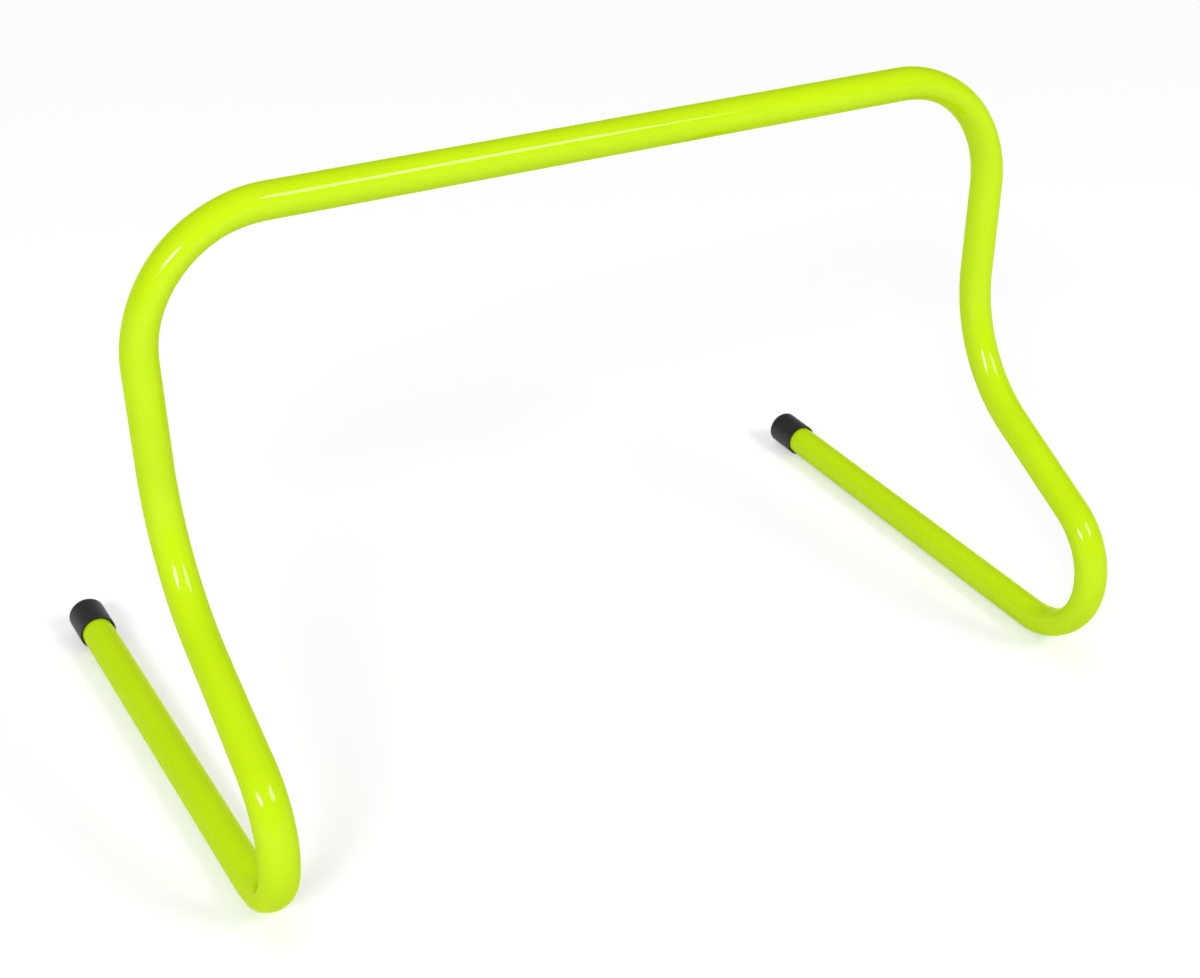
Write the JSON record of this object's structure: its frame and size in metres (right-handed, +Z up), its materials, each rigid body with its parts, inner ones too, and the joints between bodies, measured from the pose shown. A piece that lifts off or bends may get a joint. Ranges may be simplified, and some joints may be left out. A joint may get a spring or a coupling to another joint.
{
  "type": "speed hurdle",
  "caption": "Low free-standing training hurdle bent from plastic tube: straight top bar, forward-raked legs and long feet that run back to push-on end caps.",
  "frame": {"origin": "on the floor under the middle of the hurdle's outline seen from above", "axes": "+Z up, +X along the top bar to the right, +Y towards the capped rear ends of the feet"},
  "size_m": [0.454, 0.2758, 0.2872],
  "materials": {
    "tube": "glossy fluorescent yellow-green rigid plastic tube",
    "end_cap": "matt black soft plastic"
  },
  "bodies": {
    "tube": {"hurdle_tube": "tube"},
    "left_cap": {"left_end_cap": "end_cap"},
    "right_cap": {"right_end_cap": "end_cap"}
  },
  "joints": [
    {"name": "left_cap_pull", "type": "slide", "parent": "tube", "child": "left_cap", "axis": [0, 1, 0.0055], "range_m": [0, 0.025]},
    {"name": "right_cap_pull", "type": "slide", "parent": "tube", "child": "right_cap", "axis": [0, 1, 0.0055], "range_m": [0, 0.025]}
  ]
}
